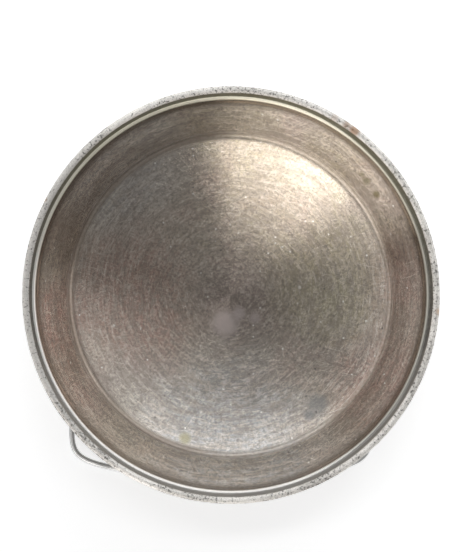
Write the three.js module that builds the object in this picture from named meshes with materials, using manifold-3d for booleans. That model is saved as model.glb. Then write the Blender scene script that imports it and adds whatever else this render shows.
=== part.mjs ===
// A round steel pan with a wired, rolled rim and a loose wire bail held in two welded ears.
// Millimetres, +Z up. The pan stands on its flat bottom, with the origin at the centre of that bottom,
// its mouth towards +Z, the bail's hinge line along X and the bail lying towards -Y.
import * as THREE from 'three';
import * as BufferGeometryUtils from 'three/addons/utils/BufferGeometryUtils.js';
import Module from 'manifold-3d';

const wasm = await Module();
wasm.setup();

// Driving dimensions
const OUTER_RADIUS = 178; // over the rolled rim
const HEIGHT = 63.5;
const SHEET = 1.2;
const FLOOR_RADIUS = 140.3; // where the floor and the wall would meet without their bend
const FLAT_RADIUS = 20; // the floor is flat inside this radius, and dished up outside it
const MID_DISH_RADIUS = 66;
const MID_DISH_ANGLE = 7; // degrees up, at MID_DISH_RADIUS
const DISH_ANGLE = 15; // degrees up, at the floor's edge
const WALL_ANGLE = 49.6; // degrees up
const FLOOR_BEND = 9; // bend radius between floor and wall
const SHOULDER_RADIUS = 168; // upper end of the wall, under the shoulder
const SHOULDER_HEIGHT = 52.7;
const SHOULDER_BEND = 1.8;
const COLLAR_ANGLE = 72; // degrees up from the floor
const CURL_RADIUS = 3.1; // outside of the rolled rim's section
const CURL_TURN = 305; // how far the sheet is rolled over the wire, in degrees
const RIM_WIRE_RADIUS = 1.5;

const WIRE_RADIUS = 2.4; // bail
const PIVOT_HEIGHT = 12;
const PIN_TIP = 145.2; // the bail's turned-in ends reach inwards to this distance from the centre
const LEG_START = 154.8; // distance of the legs from the centre beside the ears
const BAIL_CLEARANCE = 0.1; // between the bail and the surface that the pan stands on

const EAR_SHEET = 1.6;
const EAR_GAP = 0.35; // to the pan's wall
const EAR_TOP = 42;
const EAR_HALF_WIDTH = 13;
const TAB_RADIUS = 7.6;
const TAB_HOLE_RADIUS = 2.9;
const TAB_INNER = 147.4; // the tab's inner face, from the centre

const AROUND = 64; // segments of the turned pieces
const RAD = Math.PI / 180;

// The dish is two arcs. It ends where the bend up into the wall begins, on the line that meets the wall
// at FLOOR_RADIUS.
const BEND_REACH = FLOOR_BEND * Math.tan(((WALL_ANGLE - DISH_ANGLE) * RAD) / 2);
const DISH_END = FLOOR_RADIUS - BEND_REACH * Math.cos(DISH_ANGLE * RAD);
const INNER_ARC = (MID_DISH_RADIUS - FLAT_RADIUS) / Math.sin(MID_DISH_ANGLE * RAD);
const OUTER_ARC = (DISH_END - MID_DISH_RADIUS) / (Math.sin(DISH_ANGLE * RAD) - Math.sin(MID_DISH_ANGLE * RAD));
const DISH_RISE =
  INNER_ARC * (1 - Math.cos(MID_DISH_ANGLE * RAD)) +
  OUTER_ARC * (Math.cos(MID_DISH_ANGLE * RAD) - Math.cos(DISH_ANGLE * RAD));
const FLOOR_EDGE = SHEET / 2 + DISH_RISE + BEND_REACH * Math.sin(DISH_ANGLE * RAD);

const steel = (color, roughness) => new THREE.MeshStandardMaterial({ color, roughness, metalness: 1 });

// Points of a bend that starts at `from` in direction `angle` and turns left by `turn`, both in degrees.
function bend(from, angle, turn, radius, steps) {
  const side = Math.sign(turn);
  const start = angle * RAD;
  const centre = new THREE.Vector2(
    from.x - side * radius * Math.sin(start),
    from.y + side * radius * Math.cos(start),
  );
  return Array.from({ length: steps + 1 }, (_, i) => {
    const heading = (angle + (turn * i) / steps) * RAD;
    return new THREE.Vector2(
      centre.x + side * radius * Math.sin(heading),
      centre.y - side * radius * Math.cos(heading),
    );
  });
}

// The line shifted to its left by `distance`, with mitred corners.
function shifted(line, distance) {
  return line.map((point, i) => {
    const before = line[Math.max(i - 1, 0)];
    const after = line[Math.min(i + 1, line.length - 1)];
    const back = i > 0 ? point.clone().sub(before).normalize() : after.clone().sub(point).normalize();
    const ahead = i < line.length - 1 ? after.clone().sub(point).normalize() : back;
    const mean = back.clone().add(ahead).normalize();
    const reach = distance / Math.max(mean.dot(ahead), 0.5);
    return new THREE.Vector2(point.x - mean.y * reach, point.y + mean.x * reach);
  });
}

// The middle of the pan's sheet from the axis out to the free edge of the rolled rim, as radius and height.
function sheetLine() {
  const centre = new THREE.Vector2(0, SHEET / 2);
  const innerDish = bend(new THREE.Vector2(FLAT_RADIUS, SHEET / 2), 0, MID_DISH_ANGLE, INNER_ARC, 3);
  const outerDish = bend(innerDish.pop(), MID_DISH_ANGLE, DISH_ANGLE - MID_DISH_ANGLE, OUTER_ARC, 4);
  const floorBend = bend(outerDish.pop(), DISH_ANGLE, WALL_ANGLE - DISH_ANGLE, FLOOR_BEND, 4);
  const wallTop = wallPoint(SHOULDER_HEIGHT - 5);
  const upright = bend(wallTop, WALL_ANGLE, 89 - WALL_ANGLE, 5.5, 2);
  const shoulder = bend(new THREE.Vector2(SHOULDER_RADIUS, SHOULDER_HEIGHT), 89, -79, SHOULDER_BEND, 3);
  const ledgeEnd = shoulder.at(-1).clone().add(new THREE.Vector2(0.5, 0.1));
  const collarFoot = bend(ledgeEnd, 10, COLLAR_ANGLE - 10, 1.4, 2);
  const middle = CURL_RADIUS - SHEET / 2;
  const curlStart = new THREE.Vector2(
    OUTER_RADIUS - CURL_RADIUS - middle * Math.sin(COLLAR_ANGLE * RAD),
    HEIGHT - CURL_RADIUS + middle * Math.cos(COLLAR_ANGLE * RAD),
  );
  const curl = bend(curlStart, COLLAR_ANGLE, -CURL_TURN, middle, 9);
  return [centre, ...innerDish, ...outerDish, ...floorBend, ...upright, ...shoulder, ...collarFoot, ...curl];
}

// A point on the straight part of the wall, in the middle of the sheet.
function wallPoint(height) {
  return new THREE.Vector2(FLOOR_RADIUS + (height - FLOOR_EDGE) / Math.tan(WALL_ANGLE * RAD), height);
}

// A profile of radius and height turned about the Z axis.
function turned(profile) {
  return new THREE.LatheGeometry(profile, AROUND).rotateX(Math.PI / 2);
}

function panBody() {
  const line = sheetLine();
  const outside = shifted(line, -SHEET / 2);
  const inside = shifted(line, SHEET / 2).reverse();
  outside[0].x = 0;
  inside.at(-1).x = 0;
  return turned([...outside, ...inside]);
}

function rimWire() {
  const sides = 8;
  const section = Array.from({ length: sides + 1 }, (_, i) => {
    const turn = (2 * Math.PI * (i % sides)) / sides;
    return new THREE.Vector2(
      OUTER_RADIUS - CURL_RADIUS + RIM_WIRE_RADIUS * Math.cos(turn),
      HEIGHT - CURL_RADIUS + RIM_WIRE_RADIUS * Math.sin(turn),
    );
  });
  return turned(section);
}

// One side of the bail as stretches of control points: the pin, its tight bend and the leg to the corner.
function bailSide(side, cornerX, cornerY) {
  const at = (x, y) => new THREE.Vector3(side * x, y, 0);
  const bendStart = TAB_INNER + EAR_SHEET + 0.6;
  const legTop = -7;
  return [
    [at(PIN_TIP, 0), at(bendStart, 0)],
    [at(bendStart, 0), at(LEG_START, 0), at(LEG_START, legTop)],
    [at(LEG_START, legTop), at(LEG_START, legTop - 48), at(cornerX, cornerY + 42), at(cornerX, cornerY)],
  ];
}

// The bail's middle line, drawn flat with the hinge line along X. Use has pushed it a little to one side.
function bailPath() {
  const at = (x, y) => new THREE.Vector3(x, y, 0);
  const leftCorner = at(-140, -122);
  const rightCorner = at(124, -125);
  const barLeft = at(-102, -153.5);
  const barRight = at(102, -152);
  const stretches = [
    ...bailSide(-1, -leftCorner.x, leftCorner.y),
    [leftCorner, at(-140, -142), at(-133, -146.5), barLeft],
    [barLeft, at(-34, -169), at(36, -176), barRight],
    [barRight, at(119, -146), at(124, -141), rightCorner],
    ...bailSide(1, rightCorner.x, rightCorner.y).map((stretch) => stretch.reverse()).reverse(),
  ];
  const kinds = { 2: THREE.LineCurve3, 3: THREE.QuadraticBezierCurve3, 4: THREE.CubicBezierCurve3 };
  const path = new THREE.CurvePath();
  path.curves.push(...stretches.map((points) => new kinds[points.length](...points)));
  return path;
}

function bailHandle() {
  const section = new THREE.Shape().absarc(0, 0, WIRE_RADIUS, 0, 2 * Math.PI, false);
  return new THREE.ExtrudeGeometry(section, {
    steps: 160,
    curveSegments: 4,
    bevelEnabled: false,
    extrudePath: bailPath(),
  });
}

// The geometry as a manifold-3d solid.
function solid(geometry) {
  const bare = geometry.clone();
  bare.deleteAttribute('normal');
  bare.deleteAttribute('uv');
  const merged = BufferGeometryUtils.mergeVertices(bare, 1e-4);
  return new wasm.Manifold(
    new wasm.Mesh({
      numProp: 3,
      vertProperties: merged.attributes.position.array,
      triVerts: merged.index.array,
    }),
  );
}

// A manifold-3d solid as a BufferGeometry.
function geometryOf(made) {
  const mesh = made.getMesh();
  const geometry = new THREE.BufferGeometry();
  geometry.setAttribute('position', new THREE.BufferAttribute(mesh.vertProperties, 3));
  geometry.setIndex(new THREE.BufferAttribute(mesh.triVerts, 1));
  geometry.computeVertexNormals();
  return geometry;
}

// The ear on the +X side: a strip on the wall that ends below in an upright tab with the bail's hole.
function ear() {
  const wallFace = (height) => {
    const normal = new THREE.Vector2(Math.sin(WALL_ANGLE * RAD), -Math.cos(WALL_ANGLE * RAD));
    return wallPoint(height).addScaledVector(normal, SHEET / 2 + EAR_GAP + EAR_SHEET / 2);
  };
  const tabMiddle = TAB_INNER + EAR_SHEET / 2;
  const tabTop = (tabMiddle - wallFace(0).x) * Math.tan(WALL_ANGLE * RAD) + wallFace(0).y;
  const bendBulge = new THREE.Vector2(-0.2, 0.1); // rounds the bend between tab and wall
  const strip = [
    new THREE.Vector2(tabMiddle, PIVOT_HEIGHT - TAB_RADIUS),
    new THREE.Vector2(tabMiddle, tabTop - 1.5),
    new THREE.Vector2(tabMiddle, tabTop - 1.5).lerp(wallFace(tabTop + 1.5), 0.5).add(bendBulge),
    wallFace(tabTop + 1.5),
    wallFace(EAR_TOP),
  ];
  const outline = [...shifted(strip, -EAR_SHEET / 2), ...shifted(strip, EAR_SHEET / 2).reverse()];
  const bent = new THREE.ExtrudeGeometry(new THREE.Shape(outline), {
    depth: 2 * EAR_HALF_WIDTH,
    bevelEnabled: false,
  });
  bent.rotateX(Math.PI / 2).translate(0, EAR_HALF_WIDTH, 0);

  // The plate's face: a round tab below, widening to the welded part above.
  const face = new THREE.Shape();
  const corner = 5;
  const shoulderAt = PIVOT_HEIGHT + TAB_RADIUS + 5;
  face.moveTo(TAB_RADIUS, PIVOT_HEIGHT);
  face.bezierCurveTo(
    TAB_RADIUS, PIVOT_HEIGHT + 7, EAR_HALF_WIDTH, shoulderAt - 6, EAR_HALF_WIDTH, shoulderAt,
  );
  face.lineTo(EAR_HALF_WIDTH, EAR_TOP - corner - 0.5);
  face.absarc(EAR_HALF_WIDTH - corner, EAR_TOP - corner - 0.5, corner, 0, Math.PI / 2, false);
  face.absarc(corner - EAR_HALF_WIDTH, EAR_TOP - corner - 0.5, corner, Math.PI / 2, Math.PI, false);
  face.lineTo(-EAR_HALF_WIDTH, shoulderAt);
  face.bezierCurveTo(
    -EAR_HALF_WIDTH, shoulderAt - 6, -TAB_RADIUS, PIVOT_HEIGHT + 7, -TAB_RADIUS, PIVOT_HEIGHT,
  );
  face.absarc(0, PIVOT_HEIGHT, TAB_RADIUS, Math.PI, 2 * Math.PI, false);
  face.holes.push(new THREE.Path().absarc(0, PIVOT_HEIGHT, TAB_HOLE_RADIUS, 0, 2 * Math.PI, true));
  const through = new THREE.ExtrudeGeometry(face, { depth: 40, curveSegments: 10, bevelEnabled: false });
  through.rotateX(Math.PI / 2).rotateZ(Math.PI / 2).translate(TAB_INNER - 12, 0, 0);
  return geometryOf(solid(bent).intersect(solid(through)));
}

function named(name, geometry, material) {
  const mesh = new THREE.Mesh(geometry, material);
  mesh.name = name;
  return mesh;
}

const pan = new THREE.Group();
pan.add(named('pan_body', panBody(), steel(0x8f8578, 0.42)));
pan.add(named('rim_wire', rimWire(), steel(0x77736c, 0.5)));

const rightEar = ear();
pan.add(named('right_ear', rightEar, steel(0x83807a, 0.45)));
const leftEar = named('left_ear', rightEar, steel(0x83807a, 0.45));
leftEar.rotation.z = Math.PI;
pan.add(leftEar);

// At rest the bail leans down from its pins until its bar lies on the surface under the pan.
const bail = new THREE.Group();
const barReach = bailPath().getPoints(24).reduce((far, point) => Math.max(far, -point.y), 0);
bail.position.z = PIVOT_HEIGHT;
bail.rotation.x = Math.asin((PIVOT_HEIGHT - WIRE_RADIUS - BAIL_CLEARANCE) / barReach);
bail.add(named('bail_handle', bailHandle(), steel(0xa3a39e, 0.38)));
pan.add(bail);

export default pan;
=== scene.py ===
"""A steel gold pan: brushed and tarnished inside, with a pitted rolled rim and a loose wire bail.

Everything is in metres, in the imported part's frame: the pan stands on z = 0 and opens towards +Z.
The camera looks down its axis with +Y towards the top of the picture.
"""

import math

import bmesh
import bpy
from mathutils import Matrix, Vector, noise


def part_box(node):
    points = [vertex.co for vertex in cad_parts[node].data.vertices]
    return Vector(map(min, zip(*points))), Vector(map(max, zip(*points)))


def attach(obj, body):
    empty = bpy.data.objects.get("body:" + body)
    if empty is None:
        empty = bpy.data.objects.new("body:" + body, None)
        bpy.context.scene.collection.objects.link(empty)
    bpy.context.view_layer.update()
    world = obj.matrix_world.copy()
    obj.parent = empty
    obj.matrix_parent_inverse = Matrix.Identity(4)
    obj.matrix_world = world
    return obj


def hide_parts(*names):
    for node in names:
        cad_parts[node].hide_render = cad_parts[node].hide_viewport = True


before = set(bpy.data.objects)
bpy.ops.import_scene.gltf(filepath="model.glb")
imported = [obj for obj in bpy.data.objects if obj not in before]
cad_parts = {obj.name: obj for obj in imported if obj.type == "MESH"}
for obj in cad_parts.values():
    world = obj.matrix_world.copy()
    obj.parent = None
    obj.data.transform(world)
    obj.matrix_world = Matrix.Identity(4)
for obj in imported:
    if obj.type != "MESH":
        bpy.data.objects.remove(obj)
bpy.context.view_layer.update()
MM = 0.001

# The pan's sheet, as in the CAD part. Its outer radius comes from the frame.
OUTER_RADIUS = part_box("pan_body")[1].x
HEIGHT = 63.5 * MM
SHEET = 1.2 * MM
FLOOR_RADIUS = 140.3 * MM
FLAT_RADIUS = 20 * MM
MID_DISH_RADIUS = 66 * MM
MID_DISH_ANGLE = math.radians(7)
DISH_ANGLE = math.radians(15)
WALL_ANGLE = math.radians(49.6)
FLOOR_BEND = 9 * MM
SHOULDER_RADIUS = 168 * MM
SHOULDER_HEIGHT = 52.7 * MM
SHOULDER_BEND = 1.8 * MM
BEAD_OUTER = SHOULDER_RADIUS + 1.7 * MM  # the bead's bright top ends here
COLLAR_ANGLE = math.radians(72)
CURL_RADIUS = 3.1 * MM
CURL_TURN = math.radians(305)
CURL_STEPS = 30
RIM_WIRE_RADIUS = 1.5 * MM

# The bail
WIRE_RADIUS = 2.4 * MM
PIVOT_HEIGHT = 12 * MM
PIN_TIP = 145.2 * MM
TAB_OUTER = 149 * MM
LEG_START = 154.8 * MM
BAIL_CLEARANCE = 0.1 * MM

AROUND = 384  # vertices round the pan
INSIDE, GROOVE, RIM, OUTSIDE = range(4)  # the pan's material slots


# ---------------------------------------------------------------- profile of the sheet

def bend(start, heading, turn, radius, steps):
    """Points of a bend from start, in direction heading, turning left by turn, in radians."""
    side = math.copysign(1, turn)
    cx = start[0] - side * radius * math.sin(heading)
    cy = start[1] + side * radius * math.cos(heading)
    angles = [heading + turn * i / steps for i in range(steps + 1)]
    return [(cx + side * radius * math.sin(a), cy - side * radius * math.cos(a)) for a in angles]


def straight(a, b, steps):
    """The points between a and b, without the two ends."""
    return [(a[0] + (b[0] - a[0]) * i / steps, a[1] + (b[1] - a[1]) * i / steps) for i in range(1, steps)]


def sheet_line():
    """The middle of the sheet as (radius, height), from the axis to the rim's free edge."""
    bottom = SHEET / 2
    flat = [(FLAT_RADIUS * i / 6, bottom) for i in range(6)]
    reach = FLOOR_BEND * math.tan((WALL_ANGLE - DISH_ANGLE) / 2)
    inner_arc = (MID_DISH_RADIUS - FLAT_RADIUS) / math.sin(MID_DISH_ANGLE)
    dish_end = FLOOR_RADIUS - reach * math.cos(DISH_ANGLE)
    outer_arc = (dish_end - MID_DISH_RADIUS) / (math.sin(DISH_ANGLE) - math.sin(MID_DISH_ANGLE))
    dish = bend((FLAT_RADIUS, bottom), 0, MID_DISH_ANGLE, inner_arc, 14)
    dish += bend(dish.pop(), MID_DISH_ANGLE, DISH_ANGLE - MID_DISH_ANGLE, outer_arc, 22)
    floor_edge = dish[-1][1] + reach * math.sin(DISH_ANGLE)
    floor_bend = bend(dish.pop(), DISH_ANGLE, WALL_ANGLE - DISH_ANGLE, FLOOR_BEND, 12)
    wall_top_height = SHOULDER_HEIGHT - 5 * MM
    wall_top = (FLOOR_RADIUS + (wall_top_height - floor_edge) / math.tan(WALL_ANGLE), wall_top_height)
    upright = bend(wall_top, WALL_ANGLE, math.radians(89) - WALL_ANGLE, 5.5 * MM, 6)
    shoulder = bend((SHOULDER_RADIUS, SHOULDER_HEIGHT), math.radians(89), -math.radians(79), SHOULDER_BEND, 8)
    ledge_end = (shoulder[-1][0] + 0.5 * MM, shoulder[-1][1] + 0.1 * MM)
    collar_foot = bend(ledge_end, math.radians(10), COLLAR_ANGLE - math.radians(10), 1.4 * MM, 6)
    middle = CURL_RADIUS - SHEET / 2
    curl_start = (
        OUTER_RADIUS - CURL_RADIUS - middle * math.sin(COLLAR_ANGLE),
        HEIGHT - CURL_RADIUS + middle * math.cos(COLLAR_ANGLE),
    )
    curl = bend(curl_start, COLLAR_ANGLE, -CURL_TURN, middle, CURL_STEPS)
    line = flat + dish + floor_bend
    line += straight(floor_bend[-1], upright[0], 12) + upright
    line += straight(upright[-1], shoulder[0], 3) + shoulder
    line += collar_foot + straight(collar_foot[-1], curl[0], 5) + curl
    return line


def shifted(line, distance):
    """The line moved to its left by distance."""
    moved = []
    for i, (x, y) in enumerate(line):
        ax, ay = line[max(i - 1, 0)]
        bx, by = line[min(i + 1, len(line) - 1)]
        length = math.hypot(bx - ax, by - ay)
        moved.append((x - (by - ay) / length * distance, y + (bx - ax) / length * distance))
    return moved


# ---------------------------------------------------------------- meshes

def new_object(name, mesh):
    made = bpy.data.objects.new(name, mesh)
    bpy.context.scene.collection.objects.link(made)
    return made


def mesh_object(name, verts, faces):
    mesh = bpy.data.meshes.new(name)
    mesh.from_pydata(verts, [], faces)
    mesh.validate()
    mesh.polygons.foreach_set("use_smooth", [True] * len(mesh.polygons))
    mesh.update()
    return new_object(name, mesh)


def pit_depth(point, angle):
    """How deep the rolled rim is pitted at a point: deeper in patches, and most on the lower sides."""
    patch = noise.noise(Vector((math.cos(angle) * 2.3, math.sin(angle) * 2.3, 4.0)))
    wear_and_painted_shade = 0.55 + 0.45 * max(0.0, -math.sin(angle)) + 0.6 * patch
    fine = noise.noise(point * 650)
    coarse = noise.noise(point * 260 + Vector((7, 3, 1)))
    pit = max(0.0, fine - 0.22) * 0.55 * MM + max(0.0, coarse - 0.28) * 0.9 * MM
    return max(0.0, min(0.32 * MM, pit * max(wear_and_painted_shade, 0.15))) + 0.04 * MM * (1 + fine) / 2


def build_pan():
    """The whole sheet turned about the axis, with the rolled rim pitted and slightly knocked about."""
    line = sheet_line()
    curl_from = len(line) - CURL_STEPS - 1
    inside = shifted(line, SHEET / 2)
    outside = shifted(line, -SHEET / 2)
    inside[0] = (0.0, inside[0][1])
    outside[0] = (0.0, outside[0][1])
    profile = inside + outside[::-1]
    last = len(profile) - 1
    verts, faces, kinds = [], [], []
    verts.append((0.0, 0.0, profile[0][1]))
    for j in range(1, last):
        r, z = profile[j]
        for i in range(AROUND):
            angle = 2 * math.pi * i / AROUND
            verts.append((r * math.cos(angle), r * math.sin(angle), z))
    verts.append((0.0, 0.0, profile[last][1]))
    ring = lambda j, i: 1 + (j - 1) * AROUND + i % AROUND
    for i in range(AROUND):
        faces.append((0, ring(1, i), ring(1, i + 1)))
        kinds.append(INSIDE)
    shoulder_from = next(j for j, point in enumerate(line) if point[0] >= SHOULDER_RADIUS)
    starts = ((0, INSIDE), (shoulder_from, GROOVE), (curl_from, RIM), (2 * len(line) - curl_from, OUTSIDE))
    for j in range(1, last - 1):
        kind = [zone for start, zone in starts if j >= start][-1]
        for i in range(AROUND):
            faces.append((ring(j, i), ring(j + 1, i), ring(j + 1, i + 1), ring(j, i + 1)))
            kinds.append(kind)
    end = len(verts) - 1
    for i in range(AROUND):
        faces.append((end, ring(last - 1, i + 1), ring(last - 1, i)))
        kinds.append(OUTSIDE)
    pan = mesh_object("pan_shell", verts, faces)
    pan.data.polygons.foreach_set("material_index", kinds)

    # Pits and dents in the rolled rim's outer face, moved inwards along the section's own normal.
    centre_r, centre_z = OUTER_RADIUS - CURL_RADIUS, HEIGHT - CURL_RADIUS
    for j in range(curl_from, len(line)):
        for i in range(AROUND):
            vertex = pan.data.vertices[ring(j, i)]
            angle = 2 * math.pi * i / AROUND
            point = vertex.co.copy()
            out = Vector((math.cos(angle), math.sin(angle), 0))
            section = out * (point.dot(out) - centre_r) + Vector((0, 0, point.z - centre_z))
            depth = pit_depth(point, angle)
            vertex.co = point - section.normalized() * depth
    pan.data.update()
    return pan


def build_rim_wire():
    """The round core wire inside the rolled rim."""
    sides, turns = 16, 240
    verts, faces = [], []
    for i in range(turns):
        a = 2 * math.pi * i / turns
        for k in range(sides):
            b = 2 * math.pi * k / sides
            r = OUTER_RADIUS - CURL_RADIUS + RIM_WIRE_RADIUS * math.cos(b)
            z = HEIGHT - CURL_RADIUS + RIM_WIRE_RADIUS * math.sin(b)
            verts.append((r * math.cos(a), r * math.sin(a), z))
    for i in range(turns):
        for k in range(sides):
            a, b = i * sides, (i + 1) % turns * sides
            faces.append((a + k, b + k, b + (k + 1) % sides, a + (k + 1) % sides))
    return mesh_object("core_wire", verts, faces)


def bezier(points, t):
    """A point of a curve with two, three or four control points."""
    while len(points) > 1:
        points = [a.lerp(b, t) for a, b in zip(points, points[1:])]
    return points[0]


def bail_side(side, corner):
    at = lambda x, y: Vector((side * x, y, 0)) * MM
    pin, bend_at, leg, top = PIN_TIP / MM, TAB_OUTER / MM + 0.6, LEG_START / MM, -7
    x, y = abs(corner.x) / MM, corner.y / MM
    return [
        [at(pin, 0), at(bend_at, 0)],
        [at(bend_at, 0), at(leg, 0), at(leg, top)],
        [at(leg, top), at(leg, top - 48), at(x, y + 42), at(x, y)],
    ]


def bail_line():
    """The bail's middle line, flat, hinge line along X, and the control points of its stretches."""
    at = lambda x, y: Vector((x, y, 0)) * MM
    left, right = at(-140, -122), at(124, -125)
    bar_left, bar_right = at(-102, -153.5), at(102, -152)
    stretches = bail_side(-1, left)
    stretches.append([left, at(-140, -142), at(-133, -146.5), bar_left])
    stretches.append([bar_left, at(-34, -169), at(36, -176), bar_right])
    stretches.append([bar_right, at(119, -146), at(124, -141), right])
    stretches += [s[::-1] for s in reversed(bail_side(1, right))]
    steps = {2: 4, 3: 10, 4: 40}
    line = [stretches[0][0]]
    for points in stretches:
        count = steps[len(points)]
        line += [bezier(points, i / count) for i in range(1, count + 1)]
    return line


def build_bail():
    """The wire swept along its line, with slightly rounded cut ends, leaning down from its pins."""
    line = bail_line()
    sides = 24
    far = max(-p.y for p in line)
    lean = math.asin((PIVOT_HEIGHT - WIRE_RADIUS - BAIL_CLEARANCE) / far)
    place = Matrix.Translation((0, 0, PIVOT_HEIGHT)) @ Matrix.Rotation(lean, 4, "X")
    verts, faces = [], []

    def add_ring(point, along, radius):
        across = along.cross(Vector((0, 0, 1))).normalized()
        for k in range(sides):
            a = 2 * math.pi * k / sides
            offset = across * math.cos(a) * radius + Vector((0, 0, 1)) * math.sin(a) * radius
            verts.append(tuple(place @ (point + offset)))

    cut_ends = {0: (0.0, 0.35, 0.7), len(line) - 1: (-0.7, -0.35, 0.0)}
    for i, point in enumerate(line):
        along = (line[min(i + 1, len(line) - 1)] - line[max(i - 1, 0)]).normalized()
        if i in cut_ends:
            for part in cut_ends[i]:
                rounded = 0.8 + 0.2 * math.sin(abs(part) / 0.7 * math.pi / 2)
                add_ring(point + along * 0.5 * MM * part, along, WIRE_RADIUS * rounded)
        else:
            add_ring(point, along, WIRE_RADIUS * (0.995 + 0.005 * noise.noise(point * 90)))
    rings = len(verts) // sides
    for i in range(rings - 1):
        for k in range(sides):
            a, b = i * sides, (i + 1) * sides
            faces.append((a + k, a + (k + 1) % sides, b + (k + 1) % sides, b + k))
    faces.append(tuple(range(sides - 1, -1, -1)))
    faces.append(tuple((rings - 1) * sides + k for k in range(sides)))
    bail = mesh_object("bail_wire", verts, faces)
    mesh = bmesh.new()
    mesh.from_mesh(bail.data)
    bmesh.ops.recalc_face_normals(mesh, faces=mesh.faces)
    mesh.to_mesh(bail.data)
    mesh.free()
    return bail


def build_ear(node):
    """The CAD ear with its sheared edges rounded, as a piece of its own."""
    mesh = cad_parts[node].data.copy()
    ear = new_object(node + "_strip", mesh)
    work = bmesh.new()
    work.from_mesh(mesh)
    bmesh.ops.remove_doubles(work, verts=work.verts, dist=0.01 * MM)
    bmesh.ops.dissolve_limit(work, angle_limit=math.radians(0.3), verts=work.verts, edges=work.edges)
    sharp = [e for e in work.edges if len(e.link_faces) == 2 and e.calc_face_angle() > math.radians(50)]
    bmesh.ops.bevel(work, geom=sharp, offset=0.28 * MM, segments=2, affect="EDGES", profile=0.5)
    bmesh.ops.triangulate(work, faces=work.faces)
    bmesh.ops.recalc_face_normals(work, faces=work.faces)
    work.to_mesh(mesh)
    work.free()
    mesh.materials.clear()
    mesh.polygons.foreach_set("use_smooth", [True] * len(mesh.polygons))
    mesh.set_sharp_from_angle(angle=math.radians(35))
    return ear


# ---------------------------------------------------------------- materials

class Graph:
    """Short calls for building one material's nodes around a single Principled shader."""

    def __init__(self, name):
        self.material = bpy.data.materials.new(name)
        self.material.use_nodes = True
        self.nodes = self.material.node_tree.nodes
        self.links = self.material.node_tree.links
        self.shader = self.nodes["Principled BSDF"]
        self.place = self.nodes.new("ShaderNodeTexCoord").outputs["Object"]

    def feed(self, socket, value):
        if isinstance(value, bpy.types.NodeSocket):
            self.links.new(value, socket)
        else:
            socket.default_value = value

    def math(self, operation, a, b=0.0, c=0.0):
        node = self.nodes.new("ShaderNodeMath")
        node.operation = operation
        for socket, value in zip(node.inputs, (a, b, c)):
            self.feed(socket, value)
        return node.outputs[0]

    def vector_math(self, operation, a, b=(0, 0, 0), out=0):
        node = self.nodes.new("ShaderNodeVectorMath")
        node.operation = operation
        self.feed(node.inputs[0], a)
        self.feed(node.inputs[1], b)
        return node.outputs[out]

    def combine(self, x, y, z):
        node = self.nodes.new("ShaderNodeCombineXYZ")
        for socket, value in zip(node.inputs, (x, y, z)):
            self.feed(socket, value)
        return node.outputs[0]

    def split(self, vector):
        node = self.nodes.new("ShaderNodeSeparateXYZ")
        self.feed(node.inputs[0], vector)
        return node.outputs

    def noise(self, vector, scale, detail=3.0, rough=0.55, warp=0.0):
        node = self.nodes.new("ShaderNodeTexNoise")
        self.feed(node.inputs["Vector"], vector)
        node.inputs["Scale"].default_value = scale
        node.inputs["Detail"].default_value = detail
        node.inputs["Roughness"].default_value = rough
        node.inputs["Distortion"].default_value = warp
        return node.outputs["Fac"]

    def cells(self, vector, scale, out="Distance"):
        node = self.nodes.new("ShaderNodeTexVoronoi")
        self.feed(node.inputs["Vector"], vector)
        node.inputs["Scale"].default_value = scale
        return node.outputs[out]

    def span(self, value, low, high, to_low=0.0, to_high=1.0):
        """value from low..high mapped smoothly to to_low..to_high."""
        node = self.nodes.new("ShaderNodeMapRange")
        node.interpolation_type = "SMOOTHSTEP"
        self.feed(node.inputs["Value"], value)
        for name, number in (("From Min", low), ("From Max", high), ("To Min", to_low), ("To Max", to_high)):
            self.feed(node.inputs[name], number)
        return node.outputs["Result"]

    def mix(self, factor, a, b):
        node = self.nodes.new("ShaderNodeMix")
        node.data_type = "RGBA"
        self.feed(node.inputs["Factor"], factor)
        self.feed(node.inputs["A"], a)
        self.feed(node.inputs["B"], b)
        return node.outputs["Result"]

    def bump(self, height, strength, distance, normal=None):
        node = self.nodes.new("ShaderNodeBump")
        node.inputs["Strength"].default_value = strength
        node.inputs["Distance"].default_value = distance
        self.feed(node.inputs["Height"], height)
        if normal is not None:
            self.feed(node.inputs["Normal"], normal)
        return node.outputs[0]

    def near(self, centre, reach, wobble):
        """1 at a point of the object, falling smoothly to 0 at reach; wobble roughens the edge."""
        distance = self.vector_math("DISTANCE", self.place, centre, out="Value")
        distance = self.math("MULTIPLY_ADD", wobble, reach, distance)
        return self.span(distance, reach * 0.35, reach * 1.15, 1.0, 0.0)

    def tangent_round_z(self):
        node = self.nodes.new("ShaderNodeTangent")
        node.direction_type = "RADIAL"
        node.axis = "Z"
        self.feed(self.shader.inputs["Tangent"], node.outputs[0])


def rgb(r, g, b):
    return (r, g, b, 1.0)


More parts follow.
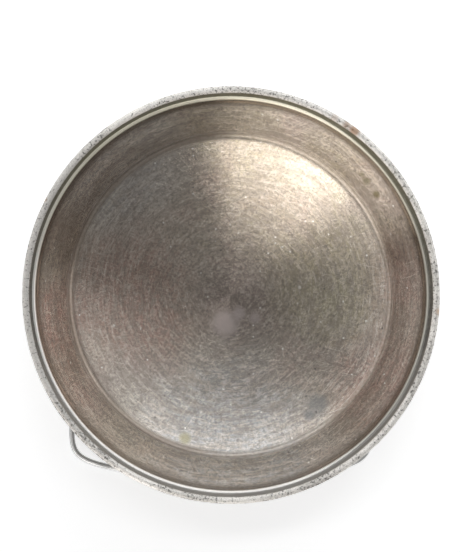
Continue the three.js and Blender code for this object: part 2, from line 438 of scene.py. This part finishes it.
# Rust on the rim, then tarnish and stains inside: x, y, height and reach in millimetres, tint, amount
RUST = [
    (105, 140, 63, 6, rgb(0.30, 0.17, 0.09), 0.8),
    (98, 145, 62, 4, rgb(0.28, 0.17, 0.10), 0.6),
    (88, 151, 62, 4, rgb(0.30, 0.19, 0.12), 0.35),
    (176, -15, 61, 4, rgb(0.40, 0.24, 0.13), 0.7),
    (-158, 80, 61, 3, rgb(0.36, 0.22, 0.13), 0.5),
]
RED_BROWN = rgb(0.465, 0.295, 0.245)
PURPLE_BROWN = rgb(0.36, 0.285, 0.26)
OLIVE = rgb(0.47, 0.42, 0.28)
PINK_GREY = rgb(0.62, 0.54, 0.51)
COOL_GREY = rgb(0.44, 0.44, 0.44)
TARNISH = [
    (-152, -24, 32, 45, RED_BROWN, 0.95),
    (-128, -80, 34, 40, RED_BROWN, 0.6),
    (132, -78, 32, 60, RED_BROWN, 0.75),
    (150, 10, 32, 50, RED_BROWN, 0.6),
    (0, 155, 36, 60, OLIVE, 0.4),
    (90, 118, 36, 45, OLIVE, 0.4),
    (5, -5, 1, 50, PURPLE_BROWN, 0.8),
    (-92, 8, 8, 66, RED_BROWN, 0.7),
    (85, 15, 8, 60, OLIVE, 0.7),
    (-72, -38, 8, 48, RED_BROWN, 0.6),
    (30, 95, 10, 60, OLIVE, 0.35),
    (0, -100, 10, 75, COOL_GREY, 0.6),
    (0, -155, 34, 100, COOL_GREY, 1.0),
    (-100, 115, 34, 75, COOL_GREY, 0.7),
    (-85, -95, 18, 55, COOL_GREY, 0.35),
]
STAINS = [
    (118, 99.5, 35.5, 5.0, rgb(0.17, 0.15, 0.07), 0.6),
    (114, 105, 36, 3.5, rgb(0.20, 0.17, 0.09), 0.5),
    (127, 87.5, 35.5, 4.5, rgb(0.19, 0.16, 0.07), 0.75),
    (147, 66.5, 43.7, 3.0, rgb(0.16, 0.13, 0.08), 0.5),
    (77, -97, 14, 11, rgb(0.25, 0.25, 0.245), 0.6),
    (69, -106, 15, 6, rgb(0.20, 0.205, 0.21), 0.6),
    (-40, -126, 16, 6, rgb(0.36, 0.33, 0.20), 0.7),
    (-4, -24, 1, 14, PINK_GREY, 0.9),
    (8, -16, 1, 8, PINK_GREY, 0.85),
    (22, -20, 1, 7, PINK_GREY, 0.7),
    (62, 7, 3.8, 2.2, rgb(0.72, 0.68, 0.62), 0.8),
    (-103, -27, 10.5, 1.6, rgb(0.72, 0.68, 0.62), 0.8),
]


def turned_coordinates(g):
    """Radius, unit direction from the axis, and the way along the section, at a point of a turned piece."""
    x, y, z = g.split(g.place)
    flat = g.combine(x, y, 0.0)
    radius = g.vector_math("LENGTH", flat, out="Value")
    direction = g.vector_math("NORMALIZE", flat)
    along = g.math("ADD", radius, z)
    return radius, direction, along


def brushed_vector(g, direction, along, round_scale, across_scale):
    """Texture coordinates that are long round the axis and short across it."""
    dx, dy, _ = g.split(direction)
    return g.combine(
        g.math("MULTIPLY", dx, round_scale),
        g.math("MULTIPLY", dy, round_scale),
        g.math("MULTIPLY", along, across_scale),
    )


def streaks(g, turn, length, width, seed):
    """Sparse straight marks of about this length and width, turned about Z: 1 on a mark, 0 elsewhere."""
    node = g.nodes.new("ShaderNodeMapping")
    node.vector_type = "TEXTURE"
    g.feed(node.inputs["Vector"], g.place)
    node.inputs["Location"].default_value = (seed, 0.7 * seed, 0.0)
    node.inputs["Rotation"].default_value = (0.0, 0.0, turn)
    node.inputs["Scale"].default_value = (length, width, length)
    marks = g.noise(node.outputs[0], 1.0, 0.0)
    where = g.noise(g.vector_math("ADD", g.place, (seed, 0.0, 0.0)), 26.0, 3.0)
    return g.math("MULTIPLY", g.span(marks, 0.68, 0.8), g.span(where, 0.45, 0.65))


def crossing_scratches(g):
    """Fine scratches in several directions, as from gravel and scouring."""
    total = 0.0
    for seed, degrees in enumerate((8, 33, 62, 84, -18, -41, -66)):
        marks = streaks(g, math.radians(degrees), 11 * MM, 0.36 * MM, 0.31 * (seed + 1))
        total = g.math("MAXIMUM", total, marks)
    for seed, degrees in enumerate((20, -12, 52)):
        marks = streaks(g, math.radians(degrees), 26 * MM, 0.45 * MM, 0.47 * (seed + 5))
        total = g.math("MAXIMUM", total, marks)
    return total


def blemish(g, colour, x, y, height, reach, tint, amount, ragged):
    """The colour with a stain over the point, all in millimetres, with a ragged edge."""
    mask = g.near((x * MM, y * MM, height * MM), reach * MM, ragged)
    return g.mix(g.math("MULTIPLY", mask, amount), colour, tint)


def specks(g, scale, size, share, seed):
    """Small round specks: 1 on a speck. share is the part of the cells that hold one."""
    place = g.vector_math("ADD", g.place, (seed, seed, 0.0))
    distance = g.cells(place, scale)
    lot = g.split(g.cells(place, scale, out="Color"))[0]
    chosen = g.math("LESS_THAN", lot, share)
    return g.math("MULTIPLY", g.span(distance, size * 0.5, size, 1.0, 0.0), chosen)


def pan_inside():
    """Old steel brushed in circles, with brown tarnish, stains, crossing scratches and specks, and painted
    shade under the bead and along the floor's bend.
    """
    g = Graph("pan_brushed_steel")
    radius, direction, along = turned_coordinates(g)
    lines = g.noise(brushed_vector(g, direction, along, 7.0, 430.0), 1.0, 4.0, 0.7)
    broad = g.noise(brushed_vector(g, direction, along, 3.0, 130.0), 1.0, 4.0, 0.65)
    cloud = g.noise(g.place, 9.0, 6.0, 0.62, 0.4)
    patch = g.noise(g.vector_math("ADD", g.place, (0.4, 0.1, 0.2)), 21.0, 8.0, 0.68, 0.5)
    mottle = g.noise(g.place, 170.0, 5.0, 0.7)
    grain = g.noise(g.place, 420.0, 4.0, 0.8)
    ragged = g.math("SUBTRACT", patch, 0.5)

    colour = g.mix(g.span(cloud, 0.43, 0.57), rgb(0.515, 0.445, 0.365), rgb(0.455, 0.39, 0.325))
    colour = g.mix(g.span(patch, 0.5, 0.62, 0.0, 0.6), colour, rgb(0.47, 0.365, 0.315))
    colour = g.mix(g.span(patch, 0.48, 0.38, 0.0, 0.5), colour, rgb(0.435, 0.405, 0.29))
    for x, y, height, reach, tint, amount in TARNISH:
        colour = blemish(g, colour, x, y, height, reach, tint, amount, ragged)
    colour = g.mix(g.span(mottle, 0.45, 0.62, 0.0, 0.45), colour, rgb(0.30, 0.255, 0.215))
    colour = g.mix(g.span(lines, 0.46, 0.6, 0.0, 0.5), colour, rgb(0.66, 0.59, 0.51))
    colour = g.mix(g.span(grain, 0.52, 0.6, 0.0, 0.5), colour, rgb(0.20, 0.17, 0.145))
    colour = g.mix(g.span(grain, 0.48, 0.4, 0.0, 0.4), colour, rgb(0.74, 0.68, 0.61))
    colour = g.mix(g.span(broad, 0.45, 0.6, 0.0, 0.4), colour, rgb(0.31, 0.265, 0.225))
    arcs = g.noise(brushed_vector(g, direction, along, 8.0, 620.0), 1.0, 2.0, 0.5)
    colour = g.mix(g.span(arcs, 0.6, 0.7, 0.0, 0.3), colour, rgb(0.74, 0.68, 0.61))
    colour = g.mix(g.span(arcs, 0.4, 0.3, 0.0, 0.3), colour, rgb(0.22, 0.19, 0.165))
    marks = crossing_scratches(g)
    colour = g.mix(g.math("MULTIPLY", marks, 0.6), colour, rgb(0.78, 0.72, 0.64))
    for x, y, height, reach, tint, amount in STAINS:
        colour = blemish(g, colour, x, y, height, reach, tint, amount, ragged)
    colour = g.mix(specks(g, 150.0, 0.16, 0.12, 3.0), colour, rgb(0.78, 0.75, 0.70))
    colour = g.mix(specks(g, 120.0, 0.13, 0.08, 5.0), colour, rgb(0.13, 0.11, 0.10))
    # Painted shade: the top of the wall, just under the bead, is darkened.
    painted_shade_under_bead = g.math("MULTIPLY", g.span(radius, SHOULDER_RADIUS - 8 * MM, SHOULDER_RADIUS - 1 * MM), 0.6)
    colour = g.mix(painted_shade_under_bead, colour, rgb(0.15, 0.13, 0.11))
    from_bend = g.math("ABSOLUTE", g.math("SUBTRACT", radius, FLOOR_RADIUS))
    # Painted shade: a thin band where the floor bends up into the wall is darkened, more on the left side
    # (-X) than on the right.
    wear_and_painted_shade = g.math("MULTIPLY", g.span(from_bend, 1 * MM, 5 * MM, 1.0, 0.0),
                  g.span(g.split(direction)[0], 0.3, -0.3, 0.35, 0.75))
    colour = g.mix(wear_and_painted_shade, colour, rgb(0.20, 0.165, 0.135))
    g.feed(g.shader.inputs["Base Color"], colour)

    rough = g.span(radius, 0.0, 70 * MM, 0.145, 0.18)
    rough = g.math("MULTIPLY_ADD", ragged, 0.05, rough)
    rough = g.math("MULTIPLY_ADD", lines, 0.03, rough)
    rough = g.math("ADD", rough, g.span(from_bend, 1.5 * MM, 5 * MM, 0.1, 0.0))
    g.feed(g.shader.inputs["Roughness"], rough)
    g.shader.inputs["Metallic"].default_value = 1.0
    g.shader.inputs["Anisotropic"].default_value = 0.8
    g.shader.inputs["Anisotropic Rotation"].default_value = 0.25
    g.tangent_round_z()
    normal = g.bump(lines, 0.3, 0.04 * MM)
    normal = g.bump(mottle, 0.05, 0.05 * MM, normal)
    normal = g.bump(grain, 0.2, 0.02 * MM, normal)
    normal = g.bump(marks, 0.2, -0.02 * MM, normal)
    g.feed(g.shader.inputs["Normal"], normal)
    return g.material


def pan_groove():
    """The bead at the top of the wall, rubbed bright and with a painted highlight, and the groove between it
    and the rim, dirty and with painted shade; both change tone by side as painted light and shade.
    """
    g = Graph("pan_bead_and_groove")
    radius, direction, along = turned_coordinates(g)
    grain = g.noise(g.place, 380.0, 5.0, 0.7)
    lines = g.noise(brushed_vector(g, direction, along, 5.0, 900.0), 1.0, 3.0, 0.6)
    x, y, _ = g.split(direction)
    # Painted light and shade by side: the bead is lighter at the top and darker at the right, the groove is
    # olive at the top and lighter at the bottom, and the line between them moves inwards at the right and
    # bottom.
    upper, lower, right = g.span(y, -0.2, 0.9), g.span(y, -0.1, -0.6), g.span(x, 0.3, 0.85)
    # The bead's pale tone is partly rubbed-bright metal and partly a painted highlight.
    bead = g.mix(upper, rgb(0.70, 0.68, 0.65), rgb(0.76, 0.73, 0.6))
    bead = g.mix(g.math("MULTIPLY", right, 0.75), bead, rgb(0.30, 0.29, 0.24))
    # The groove's dark tone is partly dirt and partly painted shade.
    groove_dirt_and_shade = g.mix(upper, rgb(0.075, 0.073, 0.07), rgb(0.14, 0.135, 0.085))
    groove_dirt_and_shade = g.mix(lower, groove_dirt_and_shade, rgb(0.26, 0.25, 0.24))
    groove_dirt_and_shade = g.mix(g.span(grain, 0.35, 0.7, 0.0, 0.5), groove_dirt_and_shade, rgb(0.27, 0.26, 0.22))
    edge = g.math("MULTIPLY_ADD", g.math("SUBTRACT", grain, 0.5), 0.8 * MM, radius)
    edge = g.math("MULTIPLY_ADD", right, 0.9 * MM, g.math("MULTIPLY_ADD", lower, 0.5 * MM, edge))
    colour = g.mix(g.span(edge, BEAD_OUTER, BEAD_OUTER + 0.7 * MM), bead, groove_dirt_and_shade)
    colour = g.mix(g.span(lines, 0.35, 0.7, 0.0, 0.25), colour, rgb(0.4, 0.38, 0.34))
    g.feed(g.shader.inputs["Base Color"], colour)
    g.feed(g.shader.inputs["Roughness"], g.span(edge, BEAD_OUTER, BEAD_OUTER + 0.7 * MM, 0.3, 0.6))
    g.shader.inputs["Metallic"].default_value = 0.85
    g.feed(g.shader.inputs["Normal"], g.bump(grain, 0.25, 0.1 * MM))
    return g.material


def pan_rim():
    """The rolled rim: a pale, dull skin full of fine dark pits, with a little rust, and painted shade that
    darkens its left side.
    """
    g = Graph("pan_worn_rim")
    pits = g.noise(g.place, 430.0, 5.0, 0.7)
    fine = g.noise(g.place, 1100.0, 3.0, 0.7)
    patch = g.noise(g.place, 24.0, 4.0, 0.6)
    ragged = g.math("SUBTRACT", pits, 0.5)
    x, _, _ = g.split(turned_coordinates(g)[1])
    colour = g.mix(g.span(patch, 0.35, 0.65), rgb(0.74, 0.715, 0.675), rgb(0.56, 0.54, 0.505))
    # Painted shade: the rim is darker towards its left side (-X).
    colour = g.mix(g.span(x, -0.5, -0.95, 0.0, 0.6), colour, rgb(0.33, 0.32, 0.305))
    colour = g.mix(g.span(fine, 0.5, 0.6, 0.0, 0.55), colour, rgb(0.27, 0.26, 0.245))
    depth = g.math("MULTIPLY_ADD", g.math("SUBTRACT", patch, 0.5), 0.25, pits)
    colour = g.mix(g.span(depth, 0.54, 0.6, 0.0, 0.85), colour, rgb(0.09, 0.085, 0.08))
    for x, y, height, reach, tint, amount in RUST:
        colour = blemish(g, colour, x, y, height, reach, tint, amount, ragged)
    g.feed(g.shader.inputs["Base Color"], colour)
    g.feed(g.shader.inputs["Roughness"], g.span(pits, 0.4, 0.7, 0.42, 0.7))
    g.shader.inputs["Metallic"].default_value = 0.45
    normal = g.bump(pits, 0.5, 0.2 * MM)
    g.feed(g.shader.inputs["Normal"], g.bump(fine, 0.3, 0.05 * MM, normal))
    return g.material


def pan_outside():
    """The outside of the sheet: duller, with faint turning lines and darker blotches."""
    g = Graph("pan_dull_steel")
    _, direction, along = turned_coordinates(g)
    lines = g.noise(brushed_vector(g, direction, along, 5.0, 700.0), 1.0, 3.0, 0.6)
    cloud = g.noise(g.place, 16.0, 6.0, 0.62, 0.5)
    colour = g.mix(g.span(cloud, 0.35, 0.65), rgb(0.42, 0.40, 0.37), rgb(0.25, 0.235, 0.22))
    colour = g.mix(g.span(lines, 0.3, 0.7, 0.0, 0.3), colour, rgb(0.5, 0.48, 0.45))
    g.feed(g.shader.inputs["Base Color"], colour)
    g.feed(g.shader.inputs["Roughness"], g.span(cloud, 0.3, 0.7, 0.42, 0.58))
    g.shader.inputs["Metallic"].default_value = 1.0
    g.feed(g.shader.inputs["Normal"], g.bump(lines, 0.3, 0.08 * MM))
    return g.material


def wire_steel(name, light, dark, rough):
    """Drawn or plated wire and strip: smooth, with soft dull patches and small marks."""
    g = Graph(name)
    cloud = g.noise(g.place, 60.0, 4.0, 0.6)
    marks = g.noise(g.place, 700.0, 3.0, 0.6)
    colour = g.mix(g.span(cloud, 0.35, 0.65), light, dark)
    colour = g.mix(g.span(marks, 0.6, 0.72, 0.0, 0.6), colour, rgb(0.16, 0.155, 0.15))
    g.feed(g.shader.inputs["Base Color"], colour)
    g.feed(g.shader.inputs["Roughness"], g.span(cloud, 0.3, 0.7, rough, rough + 0.14))
    g.shader.inputs["Metallic"].default_value = 1.0
    g.feed(g.shader.inputs["Normal"], g.bump(marks, 0.2, 0.08 * MM))
    return g.material


# ---------------------------------------------------------------- pieces

pan = build_pan()
for material in (pan_inside(), pan_groove(), pan_rim(), pan_outside()):
    pan.data.materials.append(material)
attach(pan, "pan")
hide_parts("pan_body")

core = build_rim_wire()
core.data.materials.append(wire_steel("core_wire", rgb(0.4, 0.38, 0.36), rgb(0.3, 0.28, 0.26), 0.45))
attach(core, "pan")
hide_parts("rim_wire")

bail = build_bail()
plated = wire_steel("bail_plated_wire", rgb(0.53, 0.535, 0.53), rgb(0.40, 0.405, 0.40), 0.32)
bail.data.materials.append(plated)
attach(bail, "bail")
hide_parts("bail_handle")

ear_steel = wire_steel("ear_steel", rgb(0.46, 0.44, 0.41), rgb(0.33, 0.31, 0.29), 0.42)
for node in ("left_ear", "right_ear"):
    ear = build_ear(node)
    ear.data.materials.append(ear_steel)
    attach(ear, "pan")
    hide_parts(node)


# ---------------------------------------------------------------- stage, light and camera

def build_floor():
    floor = mesh_object("floor", [(-6, -6, 0), (6, -6, 0), (6, 6, 0), (-6, 6, 0)], [(0, 1, 2, 3)])
    g = Graph("floor_paper")
    g.shader.inputs["Base Color"].default_value = rgb(0.93, 0.93, 0.93)
    g.shader.inputs["Roughness"].default_value = 0.9
    g.shader.inputs["Specular IOR Level"].default_value = 0.1
    g.shader.inputs["Emission Color"].default_value = rgb(1, 1, 1)
    g.shader.inputs["Emission Strength"].default_value = 0.56
    floor.data.materials.append(g.material)
    floor.location.z = -0.02 * MM
    return floor


def area_light(name, azimuth, elevation, size, power, colour, shape="RECTANGLE"):
    """A soft box round the pan: azimuth is turned from +X towards +Y, as in the camera's picture."""
    data = bpy.data.lights.new(name, "AREA")
    data.shape = shape
    data.size, data.size_y = size
    data.energy = power
    data.color = colour
    lamp = new_object(name, data)
    a, e = math.radians(azimuth), math.radians(elevation)
    out = Vector((math.cos(a) * math.cos(e), math.sin(a) * math.cos(e), math.sin(e)))
    level = Vector((-math.sin(a), math.cos(a), 0))
    lamp.location = out * LAMP_DISTANCE
    lamp.rotation_mode = "QUATERNION"
    lamp.rotation_quaternion = Matrix((level, out.cross(level), out)).transposed().to_quaternion()
    lamp.visible_camera = False
    return lamp


def keep_off_floor(lamps, floor):
    """The floor gets no light or shadow from these lamps, so that the pan's shadow falls to one side only."""
    others = bpy.data.collections.new("all_but_floor")
    others.objects.link(floor)
    others.collection_objects[0].light_linking.link_state = "EXCLUDE"
    for lamp in lamps:
        lamp.light_linking.receiver_collection = others


def build_world():
    """White studio walls under a darker ceiling."""
    world = bpy.data.worlds.new("studio")
    world.use_nodes = True
    nodes, links = world.node_tree.nodes, world.node_tree.links
    direction = nodes.new("ShaderNodeTexCoord").outputs["Generated"]
    split = nodes.new("ShaderNodeSeparateXYZ")
    links.new(direction, split.inputs[0])
    fade = nodes.new("ShaderNodeMapRange")
    links.new(split.outputs["Z"], fade.inputs["Value"])
    for name, number in (("From Min", 0.15), ("From Max", 0.7), ("To Min", 0.75), ("To Max", 0.26)):
        fade.inputs[name].default_value = number
    background = nodes["Background"]
    background.inputs["Color"].default_value = (1, 1, 1, 1)
    links.new(fade.outputs["Result"], background.inputs["Strength"])
    bpy.context.scene.world = world


def build_camera():
    """Looks down the pan's axis from just beside it; the sizes are those of the view at the rim."""
    distance, side, up = 1.25, -31 * MM, -21 * MM
    aim_x, aim_y = -1.5 * MM, 15.4 * MM
    view_height = 468.9 * MM
    data = bpy.data.cameras.new("camera")
    data.sensor_width = 36
    data.lens = data.sensor_width * distance / view_height
    camera = new_object("camera", data)
    camera.location = (side, up, HEIGHT + distance)
    towards = (Vector((aim_x, aim_y, HEIGHT)) - camera.location).normalized()
    right = towards.cross(Vector((0, 1, 0))).normalized()
    camera.rotation_mode = "QUATERNION"
    camera.rotation_quaternion = Matrix((right, right.cross(towards), -towards)).transposed().to_quaternion()
    bpy.context.scene.camera = camera


floor = build_floor()
build_camera()

# The pan's own circular brushing turns these into the wedges of light on its floor and wall.
LAMP_DISTANCE = 1.5
WARM, COOL = (1.0, 0.955, 0.92), (0.97, 0.99, 1.01)
key = area_light("key", 250, 72, (0.48, 0.26), 1.5, WARM)
key_edge = area_light("key_edge", 222, 72, (0.5, 0.26), 0.4, WARM, "ELLIPSE")
low_key = area_light("low_key", 236, 22, (2.2, 1.0), 14, WARM, "ELLIPSE")
fill_edge = area_light("fill_edge", 36, 70, (0.75, 0.26), 0.42, COOL, "ELLIPSE")
side = area_light("side", 172, 65, (0.8, 0.26), 0.8, COOL, "ELLIPSE")
low_left = area_light("low_left", 154, 22, (2.4, 1.0), 5.2, COOL, "ELLIPSE")
area_light("fill", 96, 65, (1.5, 0.26), 3.6, COOL)
area_light("low_top", 76, 22, (3.4, 1.0), 14, COOL, "ELLIPSE")
low_right = area_light("low_right", 14, 22, (1.2, 1.0), 4, COOL, "ELLIPSE")
keep_off_floor((key, key_edge, low_key, fill_edge, side, low_left, low_right), floor)
build_world()
bpy.context.scene.view_settings.view_transform = "Standard"
